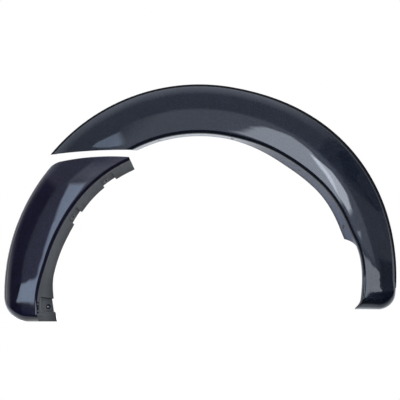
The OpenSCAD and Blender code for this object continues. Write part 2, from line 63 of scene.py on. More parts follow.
# Section
WALL = 3
CROWN_H, TAIL_H, FOOT_H = 55, 48, 48
RISE, SETTLE = math.radians(33), math.radians(9)
LIP_R, DRAFT, RIM_R = 9.5, 0.8, 0.5
EDGE_R, TAIL_EDGE_R, LOWER_EDGE_R, FOOT_EDGE_R = 4, 12, 7, 19
EDGE_H, FOLD_LIFT = 4.6, 0.25
TAIL_ROUND, FOOT_ROUND = 26, 17

# Return flange
UPPER_REACH, SHOULDER_REACH, END_REACH = 5, 12, 5
FLANGE_CUT_FROM, FLANGE_CUT_TO, LIP_RETURN = 30.1, 25.9, 0.16
UPPER_FLANGE_H, LOWER_FLANGE_H, FLANGE_TOP = 12, 10, 115
LOWER_REACH, MIDDLE_REACH, FOOT_REACH = 25.5, 8.5, 14

# Screw pockets and seats
POCKET_DEPTH, POCKET_LEN, POCKET_R, POCKET_SLOPE = 7, 36, 430, 1
POCKET_ANGLES = (124.7, 141.3, 174.5)
POCKET_BAND = (0.18, 0.32)
POCKET_HOLE_SHIFT, POCKET_HOLE_AT = 5, 0.72
SCREW_D, SEAT_D, SEAT_BACK, SEAT_PROUD, SPOT_FACE_H = 6, 14, 3, 0.5, 5
UPPER_SCREWS = [33.8 + 23.6 * i for i in range(4)]
UPPER_HOLE_AT = 0.58

# Clip towers
UPPER_CLIPS = [20 + 17 * i for i in range(7)]
LOWER_CLIPS = [143 + 12 * i for i in range(3)]
CLIP_INSET, TOWER_W, CLIP_FIT = 27, 20, 0.25
CLIP_NECK_D, CLIP_NECK_H = 6, 3.2
TOWER_WALL, TOWER_ROOF = 2, 0.4

# Edge seal, with its round's angles in radians and the heights there as shares
SEAL_REACH, SEAL_MORE, SEAL_BASE, SEAL_H = 3.8, 2.2, 2, 4
SEAL_LIP_T, SEAL_UNDER, SEAL_FIT, SEAL_FROM = 0.9, 7, 0.2, 9.5
SEAL_SHOULDER, SEAL_SPREAD, SEAL_BLEND, SEAL_SWELL = 45, 40, (8.5, 12.5), 0.7
SEAL_CORNER, SEAL_LIP_R, SEAL_NECK = 0.3, 0.45, 0.2
SEAL_ROUND, SEAL_ROUND_TOP, SEAL_ROUND_FOOT = (0.5, 1.57), 0.35, 0.2

# Angles between which the outlines change from one size to the next
SHOULDER_BLEND, WIDTH_BLEND = (28, 83), (12, 64)
SHOULDER_REACH_BLEND, END_BLEND = (60, 84), (28, 50)
END_START = (21, 34)
MIDDLE_BLEND, FOOT_BLEND, LOWER_SPAN = (127, 150), (163, 179), (116, 178)
BULGE_START, BULGE_STOP = (118, 156), (159, 174)
FLARE_SPAN, TAIL_ZONE, TOP_ZONE = (7.6, 4.6), 15, 105
LOWER_TOP_ZONE, FOOT_ZONE = 147, 167

# Angles from which the search for a line's ends starts
TAIL_GUESS, PARTING_GUESS, TOP_GUESS, FOOT_GUESS = 5.0, 120.0, 125.0, 178.0

# Name of the share of the flange's width that each of its points stores for the materials, which place
# painted sheen and painted shade by it
INWARD = "inward"

# Fineness of the meshes
ARC_STEP, ROUND_STEPS, SOLVE_STEPS = 0.5, 24, 8
FOLD_STEPS, FACE_STEPS, ROLL_STEPS, FLANGE_STEPS = 8, 40, 14, 10
TAIL_STEPS, PARTING_STEPS, BAND_STEPS = 16, 60, 5
SEAL_ROUND_STEPS, SEAL_LIP_STEPS = 6, 7
ROD_SIDES, FACE_SAMPLES = 48, 400
SMOOTH_ANGLE, SEAL_SMOOTH_ANGLE = 28, 40
WELD = 1e-6

# How far a cut runs past what it cuts, and the share of the rim's radius over which its round runs
OVERCUT, RIM_SHARE = 1, 1 / 40


def clamp(t):
    return np.clip(t, 0, 1)


def smooth(t):
    c = clamp(t)
    return c * c * (3 - 2 * c)


def ramp(a, span):
    return smooth((a - span[0]) / (span[1] - span[0]))


def mix(p, q, t):
    return p + (q - p) * t


def cosd(a):
    return np.cos(np.radians(a))


def sind(a):
    return np.sin(np.radians(a))


def pocket_arc(length):
    return math.degrees(length / POCKET_R)


POCKETS = [(a - pocket_arc(POCKET_LEN / 2), a + pocket_arc(POCKET_LEN / 2)) for a in POCKET_ANGLES]
LOWER_SCREWS = [a + pocket_arc(POCKET_HOLE_SHIFT) for a in POCKET_ANGLES]


def arc_out(arc, a):
    """Distance from the wheel centre to an arc about a centre of its own."""
    x, z, r = arc
    along = x * cosd(a) + z * sind(a)
    across = x * sind(a) - z * cosd(a)
    return along + np.sqrt(r * r - across * across)


def seal_at(a):
    wide = 1 - smooth(abs(a - SEAL_SHOULDER) / SEAL_SPREAD)
    return (SEAL_REACH + SEAL_MORE * wide) * ramp(a, SEAL_BLEND)


def upper_plan(a):
    """Sizes of the upper moulding's section at angles a."""
    turn = ramp(a, WIDTH_BLEND)
    cut = clamp((a - FLANGE_CUT_TO) / (FLANGE_CUT_FROM - FLANGE_CUT_TO))
    flare = clamp((a - FLARE_SPAN[0]) / (FLARE_SPAN[1] - FLARE_SPAN[0]))
    shoulder = SHOULDER_REACH * (1 - ramp(a, SHOULDER_REACH_BLEND))
    end = 1 - ramp(a, END_BLEND)
    width = mix(TAIL_W, FACE_W, turn) - seal_at(a)
    return {
        "edge": mix(arc_out(SHOULDER, a), arc_out(CROWN, a), ramp(a, SHOULDER_BLEND)) - seal_at(a),
        "width": width + TAIL_FLARE * flare * flare + END_W * end * ramp(a, END_START),
        "reach": UPPER_REACH + cut * (shoulder + END_REACH * end),
        "height": mix(TAIL_H, CROWN_H, turn),
        "fold": mix(TAIL_EDGE_R, EDGE_R, ramp(a, (TAIL_ZONE, 2 * TAIL_ZONE))),
        "flange_h": UPPER_FLANGE_H,
        "share": mix(LIP_RETURN, 1, cut),
    }


def lower_plan(a):
    """Sizes of the lower moulding's section at angles a."""
    down = clamp((a - LOWER_SPAN[0]) / (LOWER_SPAN[1] - LOWER_SPAN[0]))
    bulge = MIDDLE_W * ramp(a, BULGE_START) * (1 - ramp(a, BULGE_STOP))
    more = MIDDLE_REACH * ramp(a, MIDDLE_BLEND) + FOOT_REACH * ramp(a, FOOT_BLEND)
    return {
        "edge": arc_out(LOWER, a),
        "width": mix(LOWER_W, FOOT_W, down) + bulge,
        "reach": LOWER_REACH + more - bulge,
        "height": mix(CROWN_H, FOOT_H, down),
        "fold": mix(LOWER_EDGE_R, FOOT_EDGE_R, smooth(down)),
        "flange_h": LOWER_FLANGE_H,
        "share": 1,
    }


def flange_turn(p):
    """Turn of the flange from straight inboard toward the wheel, in radians."""
    drop = p["height"] - LIP_R - p["flange_h"]
    return np.arctan2(p["reach"], drop + LIP_R * np.sin(np.arctan2(p["reach"], drop)))


def fold_centre(p):
    return np.array([DRAFT + p["fold"], EDGE_H + np.maximum(p["fold"] - EDGE_R, 0) * FOLD_LIFT])


def roll_centre(p):
    return np.array([p["width"] - LIP_R * np.cos(flange_turn(p)), p["height"] - LIP_R])


def face_point(p, t, back):
    """Point of the painted face at share t: x inward from the painted edge, y outboard."""
    start = fold_centre(p) + p["fold"] * np.array([[-math.sin(RISE)], [math.cos(RISE)]])
    stop = roll_centre(p) + LIP_R * np.array([[-math.sin(SETTLE)], [math.cos(SETTLE)]])
    handle = np.hypot(*(stop - start)) / 3
    b = start + handle * np.array([[math.cos(RISE)], [math.sin(RISE)]])
    c = stop - handle * np.array([[math.cos(SETTLE)], [math.sin(SETTLE)]])
    s = 1 - t
    at = s * s * s * start + 3 * s * s * t * b + 3 * s * t * t * c + t * t * t * stop
    along = s * s * (b - start) + 2 * s * t * (c - b) + t * t * (stop - c)
    return at + back / np.hypot(*along) * np.array([along[1], -along[0]])


def flange_point(p, f, back):
    """Point of the flange at share f of its width."""
    turn = flange_turn(p)
    away = np.array([np.cos(turn), np.sin(turn)])
    lip = roll_centre(p) + LIP_R * away
    rim = np.array([p["width"] + p["reach"], p["flange_h"] + 0 * turn])
    return mix(lip, rim, f * p["share"]) - back * away


def section_point(p, line, back, foot=0):
    """Point of one line of the section, on the painted side or on the back."""
    stretch, t = line
    if stretch == "rim":
        zero = 0 * p["width"]
        return np.array([zero + back, zero - foot])
    if stretch == "fold":
        a = mix(-math.pi / 2, -RISE, t)
        return fold_centre(p) + (p["fold"] - back) * np.array([[math.sin(a)], [math.cos(a)]])
    if stretch == "face":
        return face_point(p, t, back)
    if stretch == "roll":
        a = mix(-SETTLE, math.pi / 2 - flange_turn(p), t)
        return roll_centre(p) + (LIP_R - back) * np.array([np.sin(a), np.cos(a)])
    return flange_point(p, t, back)


def section_lines():
    """The lines that run along the arch, from the outer rim over the face to the flange's edge."""
    band = np.linspace(*POCKET_BAND, BAND_STEPS)
    flange = np.concatenate([[POCKET_BAND[0] / 2], band, np.linspace(POCKET_BAND[1], 1, FLANGE_STEPS)[1:]])
    return (
        [("rim", 0), ("fold", 0)]
        + [("fold", i / FOLD_STEPS) for i in range(1, FOLD_STEPS + 1)]
        + [("face", i / FACE_STEPS) for i in range(1, FACE_STEPS + 1)]
        + [("roll", i / ROLL_STEPS) for i in range(1, ROLL_STEPS + 1)]
        + [("flange", float(f)) for f in flange]
    )


def pocket_sink(a, f, room):
    """How far a pocket is sunk at angles a and share f of the flange."""
    step = pocket_arc(POCKET_SLOPE)
    side = 0 * a
    for start, stop in POCKETS:
        low = smooth((a - start + room + step) / step)
        high = smooth((stop + room + step - a) / step)
        side = np.maximum(side, low * high)
    return POCKET_DEPTH * side * smooth((f - POCKET_BAND[0]) / (POCKET_BAND[1] - POCKET_BAND[0]))


def upper_point(a, line, back):
    return section_point(upper_plan(a), line, back)


def lower_point(a, line, back):
    p = lower_plan(a)
    q = section_point(p, line, back, SEAL_BASE)
    if line[0] == "flange":
        turn = flange_turn(p)
        room = pocket_arc(WALL) if back else 0
        q = q - pocket_sink(a, line[1], room) * np.array([np.cos(turn), np.sin(turn)])
    return q


def corner_rise(r, inset):
    c = 1 - clamp(inset / r)
    return r * (1 - np.sqrt(1 - c * c))


def edge_fall(a, rho, peak, r):
    x = rho * cosd(a) - peak
    return x * x / (2 * r)


def upper_ends(line, back):
    """Angles at which a line of the upper moulding meets the tail and the parting edge."""
    tail, part = np.array([TAIL_GUESS]), np.array([PARTING_GUESS])
    for _ in range(SOLVE_STEPS):
        inset = upper_point(tail, line, 0)[0]
        rho = upper_plan(tail)["edge"] - upper_point(tail, line, back)[0]
        tail = np.degrees(np.arcsin((TAIL_Z + corner_rise(TAIL_CORNER_R, inset) - WHEEL_Z) / rho))
        rho = upper_plan(part)["edge"] - upper_point(part, line, back)[0]
        z = PARTING_Z - WHEEL_Z - edge_fall(part, rho, PARTING_PEAK, PARTING_R)
        part = 180 - np.degrees(np.arcsin(z / rho))
    return tail[0], part[0]


def lower_ends(line, back):
    """Angles at which a line of the lower moulding meets its top edge and its foot."""
    top, foot = np.array([TOP_GUESS]), np.array([FOOT_GUESS])
    for _ in range(SOLVE_STEPS):
        rho = lower_plan(top)["edge"] - section_point(lower_plan(top), line, back)[0]
        corner = corner_rise(TIP_CORNER_R, lower_point(top, line, 0)[0])
        drop = edge_fall(top, rho, TOP_EDGE_PEAK, TOP_EDGE_R)
        z = PARTING_Z - JOINT_GAP - WHEEL_Z - drop - corner
        top = np.maximum(180 - np.degrees(np.arcsin(z / np.maximum(rho, z))), FLANGE_TOP)
        rho = lower_plan(foot)["edge"] - section_point(lower_plan(foot), line, back)[0]
        z = corner_rise(FOOT_CORNER_R, lower_point(foot, line, 0)[0]) - WHEEL_Z
        foot = 180 - np.degrees(np.arcsin(z / rho))
    return top[0], foot[0]


def rounding(length, back):
    """Rounding over of an end wall: distances from the end, and shares of the depth left."""
    turn = np.radians(90 * (1 - np.arange(ROUND_STEPS + 1) / ROUND_STEPS))
    return back + (length - back) * (1 - np.sin(turn)), np.cos(turn)


def run(start, stop, step=ARC_STEP):
    """Angles after start, up to and including stop."""
    n = max(1, math.ceil(abs(stop - start) / step))
    return start + (stop - start) * np.arange(1, n + 1) / n


def shares(count):
    return np.arange(1, count + 1) / count


def deg_per_mm(rho):
    return 180 / math.pi / rho


def upper_stations(line, back):
    """Angles of a line from the tail to the parting edge, with the share of the depth at each."""
    tail, part = upper_ends(line, back)
    at_tail = np.array([tail])
    rho = (upper_plan(at_tail)["edge"] - upper_point(at_tail, line, back)[0])[0]
    away, share = rounding(TAIL_ROUND, back)
    ends = tail + away * deg_per_mm(rho)
    straight = np.concatenate([
        mix(ends[-1], TAIL_ZONE, shares(TAIL_STEPS)),
        run(TAIL_ZONE, FLANGE_CUT_TO),
        run(FLANGE_CUT_TO, FLANGE_CUT_FROM, ARC_STEP / 2),
        run(FLANGE_CUT_FROM, TOP_ZONE),
        mix(TOP_ZONE, part, shares(PARTING_STEPS)),
    ])
    return np.concatenate([ends, straight]), np.concatenate([share, 1 + 0 * straight])


def pocket_stops(window):
    """Angles across one pocket, close together on its side walls."""
    step, room = pocket_arc(POCKET_SLOPE), pocket_arc(WALL)
    fine = step / 4
    a, b = window
    stops = [a - room - step, a - room, a - step, a, b, b + step, b + room, b + room + step]
    parts = [np.array(stops[:1])]
    for low, high in zip(stops, stops[1:]):
        near = high - low < 2 * step
        parts.append(run(low, high, fine if near else ARC_STEP / 2))
    return np.concatenate(parts)


def lower_stations(line, back):
    """Angles of a line from the top edge to the foot, with the share of the depth at each."""
    top, foot = lower_ends(line, back)
    at_foot = np.array([foot])
    rho = (lower_plan(at_foot)["edge"] - section_point(lower_plan(at_foot), line, back)[0])[0]
    away, share = rounding(FOOT_ROUND, back)
    ends = foot - away[::-1] * deg_per_mm(rho)
    first, second, third = (pocket_stops(w) for w in POCKETS)
    upper = np.concatenate([
        [FLANGE_TOP], run(FLANGE_TOP, first[0])[:-1], first,
        run(first[-1], second[0])[:-1], second, run(second[-1], LOWER_TOP_ZONE),
    ])
    upper = mix(top, LOWER_TOP_ZONE, (upper - FLANGE_TOP) / (LOWER_TOP_ZONE - FLANGE_TOP))
    lower = np.concatenate([run(FOOT_ZONE, third[0])[:-1], third])
    lower = mix(FOOT_ZONE, ends[0], (lower - FOOT_ZONE) / (third[-1] - FOOT_ZONE))
    straight = np.concatenate([upper, run(LOWER_TOP_ZONE, FOOT_ZONE), lower[:-1]])
    return np.concatenate([straight, ends]), np.concatenate([1 + 0 * straight, share[::-1]])


def place(a, rho, depth):
    """Points in the scene's frame, in metres."""
    x, z = WHEEL_X + rho * cosd(a), WHEEL_Z + rho * sind(a)
    return np.stack([x, BODY_Y - depth, z], axis=-1) * MM


def upper_line(line, back):
    a, share = upper_stations(line, back)
    q = upper_point(a, line, back)
    return place(a, upper_plan(a)["edge"] - q[0], q[1] * share)


def lower_line(line, back):
    a, share = lower_stations(line, back)
    q = lower_point(a, line, back)
    return place(a, lower_plan(a)["edge"] - q[0], (q[1] + SEAL_BASE) * share - SEAL_BASE)


# Blender helpers


def only(piece):
    """Makes one object the selected and active one."""
    bpy.ops.object.select_all(action="DESELECT")
    piece.select_set(True)
    bpy.context.view_layer.objects.active = piece


def name_it(name):
    piece = bpy.context.object
    piece.name = name
    piece.data.name = name
    return piece


def edit(piece, *steps):
    """Runs mesh operators on all of a piece in edit mode."""
    only(piece)
    bpy.ops.object.mode_set(mode="EDIT")
    bpy.ops.mesh.select_all(action="SELECT")
    for step in steps:
        step()
    bpy.ops.object.mode_set(mode="OBJECT")


def face_outward(piece):
    edit(piece, lambda: bpy.ops.mesh.normals_make_consistent(inside=False))


def smooth_shade(piece, angle):
    """Shades a piece smooth, but for edges that turn by more than an angle."""
    only(piece)
    bpy.ops.object.shade_smooth_by_angle(angle=math.radians(angle))


def finish_modifier(piece, kind, **settings):
    """Adds a modifier and applies it."""
    only(piece)
    bpy.ops.object.modifier_add(type=kind)
    modifier = piece.modifiers[-1]
    for key, value in settings.items():
        setattr(modifier, key, value)
    bpy.ops.object.modifier_apply(modifier=modifier.name)


def loft(name, lines):
    """A tube through the lines, rolled from a grid, with its two ends still open."""
    count, rings = len(lines), len(lines[0])
    bpy.ops.object.select_all(action="DESELECT")
    bpy.ops.mesh.primitive_grid_add(x_subdivisions=count, y_subdivisions=rings - 1, size=1)
    piece = name_it(name)
    grid = np.stack([*lines, lines[0]], axis=1)
    piece.data.vertices.foreach_set("co", grid.astype(np.float32).ravel())
    edit(piece, lambda: bpy.ops.mesh.remove_doubles(threshold=WELD))
    return piece


def select_edges(piece, keep):
    """Selects the edges whose two ends pass a test."""
    only(piece)
    bpy.ops.object.mode_set(mode="EDIT")
    bpy.ops.mesh.select_mode(type="EDGE")
    bpy.ops.mesh.select_all(action="DESELECT")
    bpy.ops.object.mode_set(mode="OBJECT")
    for e in piece.data.edges:
        e.select = keep(*e.vertices)
    bpy.ops.object.mode_set(mode="EDIT")


def close_ends(piece, count, rings):
    """Bridges the front and the back lines across each open end of a shell's tube."""
    half = count // 2
    for base in (0, (rings - 1) * count):
        def along_wall(i, j, base=base):
            i, j = sorted((i - base, j - base))
            return 0 <= i and j < count and j - i == 1 and i != half - 1
        select_edges(piece, along_wall)
        bpy.ops.mesh.bridge_edge_loops()
        bpy.ops.object.mode_set(mode="OBJECT")


def shell(name, lines, line_points, paints):
    """One moulding's skin from its section's lines: out along the front, home along the back."""
    near = RIM_R * RIM_SHARE
    rim = [(1 - near, 0), (1 - near / 4, RIM_R / 4), (1, RIM_R)]
    front = [(line, 0) for line in lines[:-1]] + [(("flange", f), sunk) for f, sunk in rim]
    back = [(line, WALL) for line in lines[:-1]] + [(("flange", f), WALL - sunk) for f, sunk in rim]
    ring = front + back[::-1]
    piece = loft(name, [line_points(line, depth) for line, depth in ring])
    count = len(ring)
    rings = len(piece.data.vertices) // count
    close_ends(piece, count, rings)
    face_outward(piece)
    painted = [depth == 0 and line[0] in paints for line, depth in ring]
    for face in piece.data.polygons:
        face.material_index = 0 if all(painted[v % count] for v in face.vertices) else 1
    inward = [line[1] if line[0] == "flange" else 0 for line, depth in ring]
    stored = piece.data.attributes.new(INWARD, "FLOAT", "POINT")
    stored.data.foreach_set("value", np.tile(np.array(inward, np.float32), rings))
    return piece


def station(a, rho):
    """Matrix of a place on the arch: x inward, y outboard, z along the arch."""
    x = Vector((-cosd(a), 0, -sind(a)))
    y = Vector((0, -1, 0))
    turn = Matrix((x, y, x.cross(y))).transposed().to_4x4()
    return Matrix.Translation(Vector(place(a, rho, 0).tolist())) @ turn


def sizes_at(plan, a):
    """The section's sizes at one angle, as arrays of one value."""
    return {key: np.atleast_1d(value) for key, value in plan(np.array([float(a)])).items()}


def flange_place(plan, a, f, sunk):
    """Place and outward direction of a point on the flange."""
    p = sizes_at(plan, a)
    q = flange_point(p, f, sunk)[:, 0] * MM
    turn = float(flange_turn(p)[0])
    at = station(a, float(p["edge"][0]))
    away = at.to_3x3() @ Vector((math.cos(turn), math.sin(turn), 0))
    return at @ Vector((q[0], q[1], 0)), away


def rod(at, away, low, high, d):
    """A cylinder along a direction, between two distances from a place."""
    bpy.ops.object.select_all(action="DESELECT")
    bpy.ops.mesh.primitive_cylinder_add(
        vertices=ROD_SIDES, radius=d / 2 * MM, depth=(high - low) * MM,
        location=at + away * (low + high) / 2 * MM, rotation=away.to_track_quat("Z", "Y").to_euler())
    return name_it("rod")


def face_height(p, inset, back):
    """Height of the skin over the body panel at an inset from the painted edge."""
    t = np.linspace(0, 1, FACE_SAMPLES)
    x, y = face_point(p, t, back)
    return float(np.interp(inset, x, y))


def block(at, low, high, roof=None):
    """A box in a station's own frame, with its top set to a slope where a roof is given."""
    bpy.ops.object.select_all(action="DESELECT")
    bpy.ops.mesh.primitive_cube_add(size=1)
    piece = name_it("block")
    for v in piece.data.vertices:
        x, y, z = (low[i] if v.co[i] < 0 else high[i] for i in range(3))
        if roof and v.co[1] > 0:
            y = roof(x)
        v.co = at @ (Vector((x, y, z)) * MM)
    face_outward(piece)
    return piece


def join(name, pieces):
    only(pieces[0])
    for piece in pieces:
        piece.select_set(True)
    bpy.ops.object.join()
    piece = name_it(name)
    bpy.ops.object.transform_apply(location=True, rotation=True, scale=True)
    return piece


def cut(piece, tool, operation):
    """Joins or cuts a piece with another mesh, which is used up."""
    tool.data.materials.clear()
    for material in piece.data.materials:
        tool.data.materials.append(material)
    finish_modifier(piece, "BOOLEAN", operation=operation, object=tool, solver="MANIFOLD")
    bpy.data.objects.remove(tool)


def clip_tower(plan, a):
    """Walls and plate of a clip's tower, and the room that is cut from them."""
    p = sizes_at(plan, a)
    at = station(a, float(p["edge"][0]))
    near, far, half = CLIP_INSET - TOWER_W / 2, CLIP_INSET + TOWER_W / 2, TOWER_W / 2
    tower = block(at, (near, CLIP_FIT, -half), (far, 0, half), lambda x: face_height(p, x, WALL / 2))
    low = (near + TOWER_WALL, CLIP_NECK_H, -half + TOWER_WALL)
    high = (far + OVERCUT, 0, half - TOWER_WALL)
    room = block(at, low, high, lambda x: face_height(p, x, WALL + TOWER_ROOF))
    neck = CLIP_NECK_D + 2 * CLIP_FIT
    slot = block(at, (CLIP_INSET, 0, -neck / 2), (far + OVERCUT, CLIP_NECK_H + TOWER_ROOF, neck / 2))
    away = at.to_3x3() @ Vector((0, 1, 0))
    hole = rod(at @ Vector((CLIP_INSET * MM, 0, 0)), away, 0, CLIP_NECK_H + TOWER_ROOF / 2, neck)
    return tower, [room, slot, hole]


def screw(plan, a, f, sunk):
    """The boss of a screw's seat, and the hole and flat face that are cut from it."""
    at, away = flange_place(plan, a, f, sunk)
    boss = rod(at, away, -WALL - SEAT_BACK, SEAT_PROUD, SEAT_D)
    hole = rod(at, away, -WALL - SEAT_BACK - OVERCUT, SEAT_PROUD + SPOT_FACE_H / 2, SCREW_D)
    face = rod(at, away, SEAT_PROUD, SEAT_PROUD + SPOT_FACE_H, SEAT_D)
    return boss, [hole, face]


def moulding(name, lines, line_points, paints, plan, screws, clips, materials):
    """A whole moulding: its skin, screw seats and clip towers."""
    piece = shell(name, lines, line_points, paints)
    for material in materials:
        piece.data.materials.append(material)
    bosses, holes = zip(*[screw(plan, a, f, sunk) for a, f, sunk in screws])
    towers, rooms = zip(*[clip_tower(plan, a) for a in clips])
    for tower in (*towers, *bosses):
        for face in tower.data.polygons:
            face.material_index = 1
    cut(piece, join("bosses", [*bosses, *towers]), "UNION")
    cut(piece, join("holes", [tool for tools in (*holes, *rooms) for tool in tools]), "DIFFERENCE")
    smooth_shade(piece, SMOOTH_ANGLE)
    return piece


def seal_section(a):
    """Outline of the seal at angles a, round where it shows outside the painted edge."""
    zero = 0 * a
    out = seal_at(a) + SEAL_SWELL
    points = [
        (zero + SEAL_UNDER, zero - SEAL_BASE),
        (SEAL_CORNER - out, zero - SEAL_BASE),
        (-out, zero - SEAL_BASE + SEAL_CORNER),
    ]
    for t in np.linspace(*SEAL_ROUND, SEAL_ROUND_STEPS)[::-1]:
        y = mix(SEAL_H * SEAL_ROUND_TOP, -SEAL_BASE * SEAL_ROUND_FOOT, t / SEAL_ROUND[1])
        points.append((-out * math.sin(t) - (1 - math.sin(t)) * SEAL_NECK, zero + y))
    tip = DRAFT * SEAL_H / EDGE_H - SEAL_FIT - SEAL_LIP_T / 2
    for t in np.linspace(math.pi, 0, SEAL_LIP_STEPS):
        y = SEAL_H - SEAL_LIP_R + SEAL_LIP_R * math.sin(t)
        points.append((zero + tip + SEAL_LIP_T / 2 * math.cos(t), zero + y))
    return points + [(zero - SEAL_FIT, zero), (zero + SEAL_UNDER, zero)]


def edge_seal(name, material):
    """The rubber strip along the upper moulding's outer edge, cut off level at the parting edge."""
    last = np.array([upper_ends(("rim", 0), 0)[1]])
    edge = upper_plan(last)["edge"]
    height = edge * sind(last)
    even = np.concatenate([[SEAL_FROM], run(SEAL_FROM, last[0])])
    lines = []
    for i, (inset, _) in enumerate(seal_section(last)):
        stop = 180 - np.degrees(np.arcsin(height / (edge - inset)))
        angles = mix(SEAL_FROM, stop, (even - SEAL_FROM) / (last - SEAL_FROM))
        x, y = seal_section(angles)[i]
        lines.append(place(angles, upper_plan(angles)["edge"] - x, y))
    piece = loft(name, lines)
    edit(piece, lambda: bpy.ops.mesh.select_all(action="DESELECT"), bpy.ops.mesh.select_non_manifold,
         bpy.ops.mesh.edge_face_add)
    face_outward(piece)
    piece.data.materials.append(material)
    smooth_shade(piece, SEAL_SMOOTH_ANGLE)
    return piece


# Shader maths


class Value:
    """A socket that takes part in Python expressions, each of which adds its Math node."""

    def __init__(self, shader, socket):
        self.shader = shader
        self.socket = socket

    def math(self, operation, *others):
        values = {i: v for i, v in enumerate((self, *others))}
        return self.shader.node("ShaderNodeMath", {"operation": operation}, values)

    def __add__(self, other):
        return self.math("ADD", other)

    __radd__ = __add__

    def __mul__(self, other):
        return self.math("MULTIPLY", other)

    __rmul__ = __mul__

    def __sub__(self, other):
        return self.math("SUBTRACT", other)

    def __rsub__(self, other):
        return (self * -1) + other

    def clamped(self):
        node = self.math("ADD", 0)
        node.socket.node.use_clamp = True
        return node

    def __truediv__(self, other):
        return self.math("DIVIDE", other)

    def root(self):
        return self.math("SQRT")

    def above(self, edge, soft):
        """0 below an edge and 1 above it, with a soft step of the given width."""
        return ((self - (edge - soft / 2)) * (1 / soft)).clamped()

    def below(self, edge, soft):
        return 1 - self.above(edge, soft)


class Shader:
    """A material or world under construction."""

    def __init__(self, owner):
        owner.use_nodes = True
        self.tree = owner.node_tree
        self.tree.nodes.clear()

    def node(self, kind, settings=None, inputs=None, out=0):
        made = self.tree.nodes.new(kind)
        for key, value in (settings or {}).items():
            if key == "stops":
                self.set_stops(made.color_ramp, value)
            else:
                setattr(made, key, value)
        for key, value in (inputs or {}).items():
            if isinstance(value, Value):
                self.tree.links.new(value.socket, made.inputs[key])
            else:
                made.inputs[key].default_value = value
        return Value(self, made.outputs[out])

    @staticmethod
    def set_stops(ramp, stops):
        while len(ramp.elements) < len(stops):
            ramp.elements.new(1)
        for element, (at, color) in zip(ramp.elements, stops):
            element.position = at
            element.color = (*color, 1)

    def colors(self, low, high, factor):
        """Mixes two colours by a factor."""
        return self.node("ShaderNodeMix", {"data_type": "RGBA"}, {0: factor, 6: low, 7: high}, 2)

    def inward(self):
        """The stored share of the flange's width."""
        return self.node("ShaderNodeAttribute", {"attribute_name": INWARD}, out="Fac")

    def rays(self, *kinds):
        """Whether a ray is of each of the kinds."""
        path = self.tree.nodes.new("ShaderNodeLightPath")
        return [Value(self, path.outputs[f"Is {kind} Ray"]) for kind in kinds]

    def output(self, surface, kind="ShaderNodeOutputMaterial"):
        made = self.tree.nodes.new(kind)
        self.tree.links.new(surface.socket, made.inputs[0])
        made.is_active_output = True


# Paint: its flakes' size and share, its slow change of tone, and on the flange a painted bluish sheen that
# gives way to painted shade at the rim, with the coat thinned on both
FLAKE, FLAKE_STEP, FLAKE_STRENGTH = 0.5, (0.86, 0.2), 0.5
PAINT_CLOUDS, PAINT_CLOUD_STEP = 14, (0.5, 0.5)
PAINT_ROUGH, PAINT_ROUGH_MORE, PAINT_METAL = 0.34, 0.08, 0.6
FLANGE_SHEEN, FLANGE_SHEEN_SHARE = (0.028, 0.044, 0.088), 0.9
FLANGE_STEP, RIM_STEP = (0.05, 0.1), (0.8, 0.4)
FLANGE_GLOSS_LOSS, RIM_GLOSS_LOSS = 0.22, 0.5
BASE_SHINE = (0.08, 0.09, 0.14)
COAT_ROUGH, COAT_IOR = 0.03, 1.5

# Plastic: its worn and clean tones as shares of the colour, and the painted shade that darkens the flange
# toward its rim
PLASTIC_CLOUDS, PLASTIC_CLOUD_STEP = 9, (0.52, 0.4)
CLEAN_TONE, WORN_TONE, RIM_PAINTED_SHADE = 1.3, 1.8, 0.3
PLASTIC_SHADED_RIM_STEP, GRAIN_ROUGH, GRAIN_STRENGTH, PLASTIC_IOR = (0.7, 0.6), 0.12, 0.6, 1.48


def material(name):
    made = bpy.data.materials.new(name)
    return made, Shader(made)


def rgb(color, share=1):
    return (*(c * share for c in color), 1)


def metallic_paint(name, deep, flake, tint):
    """Dark metallic paint: fine bright flakes in a tinted base, under a clear coat, with a painted sheen on
    the flange and painted shade at its rim.
    """
    made, s = material(name)
    where = s.node("ShaderNodeTexCoord", out="Object")
    cells = {"Vector": where, "Scale": 1 / (FLAKE * MM)}
    grain = s.node("ShaderNodeTexVoronoi", {"feature": "F1"}, cells, "Color")
    spark = s.node("ShaderNodeSeparateColor", None, {"Color": grain}, "Red").above(*FLAKE_STEP)
    cloud = s.node("ShaderNodeTexNoise", None, {"Vector": where, "Scale": PAINT_CLOUDS, "Detail": 2})
    base = s.colors(rgb(deep), rgb(tint), cloud.above(*PAINT_CLOUD_STEP))
    color = s.colors(base, rgb(flake), spark * FLAKE_STRENGTH)
    inward = s.inward()
    # Painted light: the flange's paint turns a lighter bluish as a painted sheen, and at its rim goes back
    # to the dark base as painted shade
    rim = inward.above(*RIM_STEP)
    flange = inward.above(*FLANGE_STEP) * (1 - rim)
    color = s.colors(color, rgb(FLANGE_SHEEN), flange * FLANGE_SHEEN_SHARE)
    bsdf = s.node("ShaderNodeBsdfPrincipled", None, {
        "Base Color": color, "Roughness": PAINT_ROUGH + cloud * PAINT_ROUGH_MORE,
        "Metallic": PAINT_METAL, "IOR": COAT_IOR,
        "Specular IOR Level": 0.0, "Specular Tint": rgb(BASE_SHINE),
        "Coat Weight": 1 - flange * FLANGE_GLOSS_LOSS - rim * RIM_GLOSS_LOSS,
        "Coat Roughness": COAT_ROUGH, "Coat IOR": COAT_IOR})
    s.output(bsdf)
    return made


